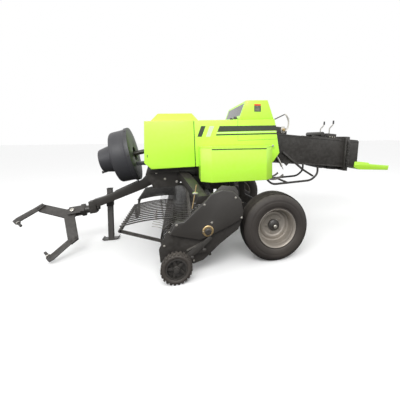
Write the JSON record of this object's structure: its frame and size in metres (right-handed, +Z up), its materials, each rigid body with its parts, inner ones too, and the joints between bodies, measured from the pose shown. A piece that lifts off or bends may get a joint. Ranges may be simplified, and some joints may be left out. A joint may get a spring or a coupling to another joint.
{
  "type": "drawn square baler",
  "caption": "In-line square baler towed by a tractor, with a wide pickup under the front, side twine boxes, a long bale chamber with a drop chute, a knotter hood and a jack at its tongue.",
  "frame": {"origin": "centre of the footprint of the whole machine, on the ground", "axes": "+X towards the hitch, +Y to the machine's left, +Z up"},
  "size_m": [5.2123, 2.53, 1.84],
  "materials": {
    "black": "satin black enamel",
    "green": "gloss lime green enamel",
    "steel": "zinc plated",
    "rubber": "matt rubber",
    "rim_paint": "satin silver"
  },
  "bodies": {
    "frame": {"axle_beam": "black", "chassis_frame": "black", "tongue": "black", "flywheel_guard": "black", "gearbox": "black", "bale_chamber": "black", "plunger": "black", "feed_duct": "black", "needle_frame": "black", "tension_band": "black", "tension_beam": "black", "tension_crank_left": "steel", "tension_crank_right": "steel", "knotter_frame": "steel", "rear_bracket": "steel", "main_panel_left": "green", "main_panel_right": "green", "roof": "green", "front_sheet": "green", "top_cover": "green", "twine_box_left": "green", "twine_box_right": "green"},
    "road_wheel_left": {"tyre_left": "rubber", "rim_left": "rim_paint", "hub_left": "black"},
    "road_wheel_right": {"tyre_right": "rubber", "rim_right": "rim_paint", "hub_right": "black"},
    "flywheel": {"flywheel": "black"},
    "jack": {"jack_leg": "black"},
    "swivel": {"hitch_swivel": "black"},
    "yoke": {"hitch_yoke": "black", "hitch_arm_left": "black", "hitch_arm_right": "black"},
    "pickup": {"side_sheet_left": "black", "side_sheet_right": "black", "drive_cover": "black", "gauge_arm_left": "black", "gauge_arm_right": "black", "pickup_bands": "black", "auger_trough": "black"},
    "reel": {"pickup_reel": "steel"},
    "auger": {"cross_auger": "black"},
    "wind_guard": {"wind_guard": "black"},
    "gauge_wheel_left": {"gauge_wheel_left": "rubber"},
    "gauge_wheel_right": {"gauge_wheel_right": "rubber"},
    "front_door_left": {"front_door_left": "green"},
    "front_door_right": {"front_door_right": "green"},
    "twine_lid_left": {"twine_lid_left": "green"},
    "twine_lid_right": {"twine_lid_right": "green"},
    "hood": {"knotter_hood": "green"},
    "chute": {"bale_chute": "green"},
    "measuring_wheel": {"measuring_wheel": "steel"}
  },
  "joints": [
    {"name": "road_wheel_left_spin", "type": "hinge", "parent": "frame", "child": "road_wheel_left", "pos_m": [-0.386, 0.95, 0.38], "axis": [0, 1, 0], "continuous": true},
    {"name": "road_wheel_right_spin", "type": "hinge", "parent": "frame", "child": "road_wheel_right", "pos_m": [-0.386, -0.95, 0.38], "axis": [0, 1, 0], "continuous": true},
    {"name": "flywheel_spin", "type": "hinge", "parent": "frame", "child": "flywheel", "pos_m": [1.209, 0, 1.17], "axis": [0.9763, 0, -0.2164], "continuous": true},
    {"name": "jack_slide", "type": "slide", "parent": "frame", "child": "jack", "axis": [0, 0, 1], "range_m": [0, 0.2]},
    {"name": "hitch_roll", "type": "hinge", "parent": "frame", "child": "swivel", "pos_m": [1.959, 0, 0.445], "axis": [0.9928, 0, -0.1201], "range_deg": [0, 85]},
    {"name": "hitch_yaw", "type": "hinge", "parent": "swivel", "child": "yoke", "pos_m": [1.959, 0, 0.445], "axis": [0.092, 0.6428, 0.7605], "range_deg": [-80, 0]},
    {"name": "pickup_lift", "type": "hinge", "parent": "frame", "child": "pickup", "pos_m": [0.174, 0, 0.72], "axis": [0, -1, 0], "range_deg": [0, 5]},
    {"name": "windguard_swing", "type": "hinge", "parent": "pickup", "child": "wind_guard", "pos_m": [0.734, 0, 0.335], "axis": [0, -1, 0], "range_deg": [0, 8]},
    {"name": "reel_spin", "type": "hinge", "parent": "pickup", "child": "reel", "pos_m": [0.654, 0, 0.345], "axis": [0, 1, 0], "continuous": true},
    {"name": "auger_spin", "type": "hinge", "parent": "pickup", "child": "auger", "pos_m": [0.214, 0, 0.5], "axis": [0, 1, 0], "continuous": true},
    {"name": "gauge_wheel_left_spin", "type": "hinge", "parent": "pickup", "child": "gauge_wheel_left", "pos_m": [0.68, 1.206, 0.147], "axis": [0, 1, 0], "continuous": true},
    {"name": "gauge_wheel_right_spin", "type": "hinge", "parent": "pickup", "child": "gauge_wheel_right", "pos_m": [0.68, -1.206, 0.147], "axis": [0, 1, 0], "continuous": true},
    {"name": "front_door_left_swing", "type": "hinge", "parent": "frame", "child": "front_door_left", "pos_m": [0.45793, 0.575, 1.29415], "axis": [0.024, 0, 0.9997], "range_deg": [0, 90]},
    {"name": "front_door_right_swing", "type": "hinge", "parent": "frame", "child": "front_door_right", "pos_m": [0.45793, -0.575, 1.29415], "axis": [-0.024, 0, -0.9997], "range_deg": [0, 90]},
    {"name": "twine_lid_left_lift", "type": "hinge", "parent": "frame", "child": "twine_lid_left", "pos_m": [-0.001, 0.5814, 1.2744], "axis": [1, 0, 0], "range_deg": [0, 85]},
    {"name": "twine_lid_right_lift", "type": "hinge", "parent": "frame", "child": "twine_lid_right", "pos_m": [-0.001, -0.5814, 1.2744], "axis": [-1, 0, 0], "range_deg": [0, 85]},
    {"name": "hood_lift", "type": "hinge", "parent": "frame", "child": "hood", "pos_m": [-0.086, 0, 1.5926], "axis": [0, 1, 0], "range_deg": [0, 65]},
    {"name": "chute_fold", "type": "hinge", "parent": "frame", "child": "chute", "pos_m": [-1.986, 0, 0.935], "axis": [0, 1, 0], "range_deg": [0, 85]},
    {"name": "measuring_wheel_spin", "type": "hinge", "parent": "frame", "child": "measuring_wheel", "pos_m": [-0.836, 0.16, 1.478], "axis": [0, 1, 0], "continuous": true}
  ]
}
